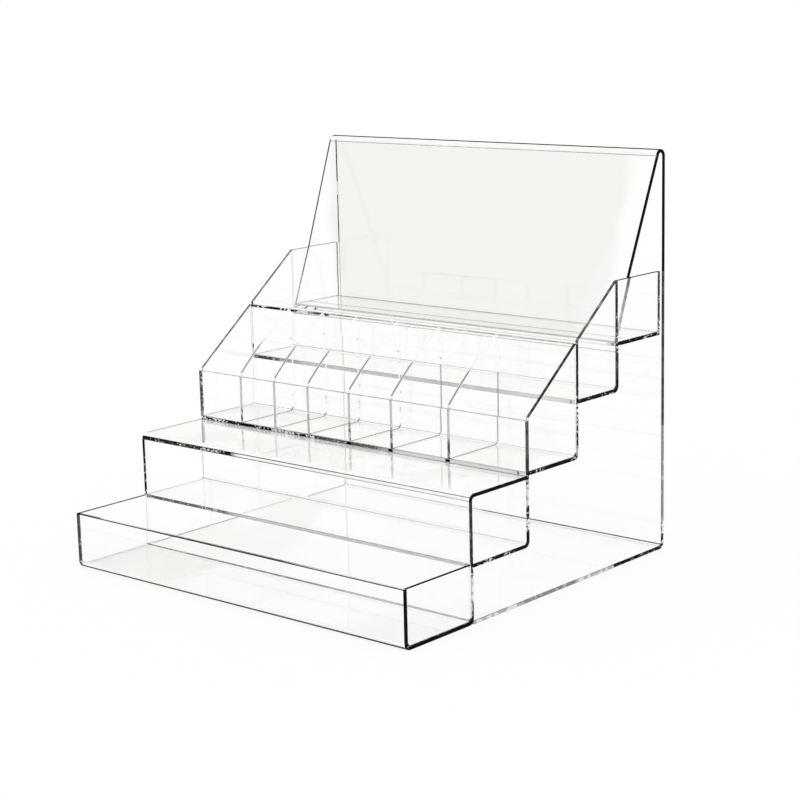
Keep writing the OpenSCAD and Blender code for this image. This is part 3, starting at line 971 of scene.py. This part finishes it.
slope = (SHELF_CHEEK_TOP - COMP_FRONT_TOP) / (SHELF_Y - COMP_Y)


def slope_z(y):
    """The height of the sloped cheeks' tops at a depth."""
    return COMP_FRONT_TOP + slope * (y - COMP_Y)


def over_floor(front, rear, level):
    """The foot of a plate that stands on a floor and against the upright behind it, clear of its bend."""
    return [(front, level), (rear - BEND, level), (rear, level + BEND)]


cheek_x = RIGHT_X - HALF
tray_front, tray_rear, tray_level = FRONT_Y + SHEET + CEMENT, BOX_Y - CEMENT, SHEET + CEMENT
cheeks = {"tray_cheek": cross_plate("tray_end_right", cheek_x, [
    (tray_front + BEND, tray_level), *over_floor(tray_front, tray_rear, tray_level)[1:],
    (tray_rear, TRAY_TOP), (tray_front, TRAY_TOP), (tray_front, tray_level + BEND)])}
for node, name, low_y, high_y, level in (
        ("compartment_cheek", "compartment_end_right", COMP_Y, UPPER_Y, COMP_FLOOR),
        ("upper_cheek", "upper_tray_end_right", UPPER_Y, SHELF_Y, UPPER_FLOOR)):
    front, rear = low_y + SHEET + CEMENT, high_y - CEMENT
    cheeks[node] = cross_plate(name, cheek_x, [
        *over_floor(front, rear, level + CEMENT), (rear, slope_z(rear)), (front, slope_z(front))])
cheeks["shelf_cheek"] = cross_plate("top_shelf_end_right", cheek_x, [
    (SHELF_Y, SHELF_TOP + CEMENT), (SHELF_BACK, SHELF_TOP + CEMENT),
    (SHELF_BACK, SHELF_CHEEK_TOP), (SHELF_Y, SHELF_CHEEK_TOP)],
    [((0, SHELF_Y + CHEEK_STRIP, 0), ALONG_Y), ((0, SHELF_BACK - CHEEK_STRIP, 0), ALONG_Y)])

plates = {}
for node, right in cheeks.items():
    plates[node + "_right"] = right
    left_name = right.name.replace("right", "left")
    plates[node + "_left"] = copy_across(right, left_name, LEFT_X + HALF - cheek_x)

# A divider's top is an arc from the compartments' front to the upper tray's front
arch_a = Vector((COMP_Y, COMP_FRONT_TOP))
arch_b = Vector((UPPER_Y, UPPER_FRONT_TOP))
span = (arch_b - arch_a).length
arch_radius = (span ** 2 / 4 + DIVIDER_ARCH ** 2) / (2 * DIVIDER_ARCH)
along = (arch_b - arch_a).normalized()
arch_centre = (arch_a + arch_b) / 2 - (arch_radius - DIVIDER_ARCH) * Vector((-along.y, along.x))
divider_front, divider_rear = COMP_Y + SHEET + CEMENT, UPPER_Y - CEMENT


def arch_point(share):
    """A point of the arch, from the rear, 0, to the front, 1."""
    y = divider_rear + (divider_front - divider_rear) * share
    return (y, arch_centre.y + math.sqrt(arch_radius ** 2 - (y - arch_centre.x) ** 2))


divider = cross_plate("divider_plate_1", DIVIDER_X[0], [
    *over_floor(divider_front, divider_rear, COMP_FLOOR + CEMENT),
    *(arch_point(i / ARCH_CUTS) for i in range(ARCH_CUTS + 1))],
    [((0, 0, BACK_CUT), UP)])


# What is painted on the plates: painted shade on their cut edges, and pale painted light in places


def cut_top(m, n):
    return n.z > 0.5


def cut_front(m, n):
    return n.y < -0.7


def cut_back(m, n):
    return n.y > 0.7


def cut_foot(m, n):
    return n.z < -0.7


def rim_of(cut):
    """The rounded long edges beside a cut."""
    return lambda m, n: 0.1 < abs(n.x) < 0.97 and cut(m, Vector((0, n.y, n.z)).normalized())


def paint_cut(plate, cut, finish, rim=None):
    """Gives a finish to a cut, and one to the rims beside it."""
    paint(plate, finish, cut)
    if rim:
        paint(plate, rim, rim_of(cut))


for node, right in cheeks.items():
    paint_cut(right, cut_top, "grey", "dark_line")
    paint_cut(right, cut_foot, "black", "black")
    paint_cut(plates[node + "_left"], cut_top, "left_slope", "soft_line")
paint_cut(plates["upper_cheek_right"], cut_top, "mid_line", "dark_line")
paint(plates["upper_cheek_right"], "black", lambda m, n: cut_back(m, n) and m.z > SHELF_TOP)
paint_cut(plates["tray_cheek_right"], cut_top, "dark_line")
paint_cut(plates["tray_cheek_left"], cut_top, "mid_line")
paint_cut(plates["tray_cheek_left"], cut_front, "black")
paint_cut(plates["compartment_cheek_left"], cut_front, "flecked")
paint_cut(plates["shelf_cheek_right"], cut_front, "black", "black")
paint_cut(plates["shelf_cheek_right"], cut_back, "black", "black")
paint(plates["shelf_cheek_right"], "black", lambda m, n: abs(n.x) > 0.9 and min(
    m.y - SHELF_Y, SHELF_BACK - m.y) < CHEEK_STRIP)
paint_cut(plates["shelf_cheek_left"], cut_back, "mid_line")

paint_cut(divider, cut_top, "arch", "arch_rim")
paint_cut(divider, cut_foot, "mid_line", "mid_line")
paint_cut(divider, cut_front, "divider_front", "divider_rim")
plates["divider_1"] = divider
for i in range(2, 7):
    plates[f"divider_{i}"] = copy_across(divider, f"divider_plate_{i}", DIVIDER_X[i - 1] - DIVIDER_X[0])
for i in (4, 5, 6):
    paint_cut(plates[f"divider_{i}"], cut_foot, "dark_line")
# Low on the back edges of the last two dividers, pale painted light
for i in (5, 6):
    for cut in (cut_back, rim_of(cut_back)):
        paint(plates[f"divider_{i}"], "haze", lambda m, n: cut(m, n) and m.z < BACK_CUT)

for group, finish in ((sheets, "clear_sheet"), (plates, "clear_plate")):
    for node, obj in group.items():
        alone(obj)
        bpy.ops.object.material_slot_remove_unused()
        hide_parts(node)
        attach(obj, "root")

# The floor it stands on

WHITE = (1, 1, 1)
TABLE_SIZE = 14
TABLE_DROP = 0.3 * MM
BACKGROUND_SHARE = 0.9

bpy.ops.object.select_all(action="DESELECT")
bpy.ops.mesh.primitive_plane_add(size=TABLE_SIZE, location=(0, 0, -TABLE_DROP))
table = bpy.context.object
table.name = "pale_table"
mat, tree, shader, place = start_material("pale_table", 0.9)
shader.inputs["Base Color"].default_value = (0.98, 0.98, 0.98, 1)
shader.inputs["Specular IOR Level"].default_value = 0.1
path = tree.nodes.new("ShaderNodeLightPath")
seen = math_node(tree, "MAXIMUM", path.outputs["Is Camera Ray"], path.outputs["Is Glossy Ray"])
seen = math_node(tree, "MAXIMUM", seen, path.outputs["Is Transmission Ray"])
glow = tree.nodes.new("ShaderNodeEmission")
glow.inputs["Color"].default_value = (*WHITE, 1)
mix = tree.nodes.new("ShaderNodeMixShader")
tree.links.new(math_node(tree, "MULTIPLY", seen, BACKGROUND_SHARE), mix.inputs["Fac"])
tree.links.new(shader.outputs["BSDF"], mix.inputs[1])
tree.links.new(glow.outputs["Emission"], mix.inputs[2])
tree.links.new(mix.outputs["Shader"], tree.nodes["Material Output"].inputs["Surface"])
table.data.materials.append(mat)

# The white studio, with the grey cards that the clear sheet mirrors

world = bpy.data.worlds.new("white_studio")
bpy.context.scene.world = world
world.use_nodes = True
tree = world.node_tree
place = tree.nodes.new("ShaderNodeTexCoord").outputs["Generated"]
ragged = tree.nodes.new("ShaderNodeTexNoise")
ragged.inputs["Scale"].default_value = 14
ragged.inputs["Detail"].default_value = 3
tree.links.new(place, ragged.inputs["Vector"])
wander = math_node(tree, "SUBTRACT", ragged.outputs["Fac"], 0.5)
split = tree.nodes.new("ShaderNodeSeparateXYZ")
tree.links.new(place, split.inputs[0])
height = math_node(tree, "ARCSINE", split.outputs["Z"], 0)
ahead = math_node(tree, "MULTIPLY", split.outputs["Y"], -1)
side = math_node(tree, "ARCTAN2", split.outputs["X"], ahead)


def card(left, right, low, high, soft, ragged_by, slants=(0, 0)):
    """A card in the studio: 1 on it and 0 off it.

    Its borders, and how soft and ragged they are, are in degrees. A slant leans a side over by a share
    of the height.
    """
    mask = None
    for value, edge, slant, rising in ((side, left, slants[0], True), (side, right, slants[1], False),
                                       (height, low, 0, True), (height, high, 0, False)):
        value = math_node(tree, "ADD", value, math_node(tree, "MULTIPLY", height, slant))
        moved = math_node(tree, "ADD", value, math_node(tree, "MULTIPLY", wander, math.radians(ragged_by)))
        part = step_between(tree, moved, math.radians(edge - soft), math.radians(edge + soft))
        if not rising:
            part = math_node(tree, "SUBTRACT", 1, part)
        mask = part if mask is None else math_node(tree, "MULTIPLY", mask, part)
    return mask


GREY_TOP = (0.55, 0.55, 0.55)
overhead = step_between(tree, height, math.radians(45), math.radians(75))
sky = mix_colour(tree, overhead, WHITE, GREY_TOP)
for mask, colour in ((card(-152, -126, 6.5, 13.2, 0.7, 9), (0.93, 0.935, 0.89)),
                     (card(-136, -128, 12, 18, 0.4, 22), (0.91, 0.915, 0.87)),
                     (card(-29.9, -32.8, 18, 34, 0.25, 2.5, (0.74, 0.25)), (0.1, 0.11, 0.0))):
    sky = mix_colour(tree, mask, sky, colour)
path = tree.nodes.new("ShaderNodeLightPath")
mirrored = math_node(tree, "MAXIMUM", path.outputs["Is Glossy Ray"], path.outputs["Is Transmission Ray"])
tree.links.new(mix_colour(tree, mirrored, WHITE, sky), tree.nodes["Background"].inputs["Color"])

# Camera at the photo's place

SENSOR_WIDTH = 36
LENS = 90.15
CAMERA_PLACE = (1.2058309, -1.1551986 + FRONT_Y, 0.5287962)
RIGHT_AXIS = Vector((0.75729655, 0.652652, -0.02339456))
DOWN_AXIS = Vector((0.11699369, -0.17082083, -0.9783316))
AHEAD_AXIS = Vector((-0.64250635, 0.73815013, -0.20571819))

camera_data = bpy.data.cameras.new("camera")
camera_data.sensor_width = SENSOR_WIDTH
camera_data.lens = LENS
camera_data.clip_start = 0.01
camera_data.clip_end = 50
camera = bpy.data.objects.new("camera", camera_data)
bpy.context.collection.objects.link(camera)
turn = Matrix((RIGHT_AXIS, -DOWN_AXIS, -AHEAD_AXIS)).transposed().to_4x4()
camera.matrix_world = Matrix.Translation(CAMERA_PLACE) @ turn

# Light has to cross many sheets
LIGHT_STEPS = 40
MIRROR_STEPS = 16

scene = bpy.context.scene
scene.camera = camera
scene.view_settings.view_transform = "Standard"
scene.cycles.max_bounces = LIGHT_STEPS
scene.cycles.transmission_bounces = LIGHT_STEPS
scene.cycles.transparent_max_bounces = LIGHT_STEPS
scene.cycles.glossy_bounces = MIRROR_STEPS
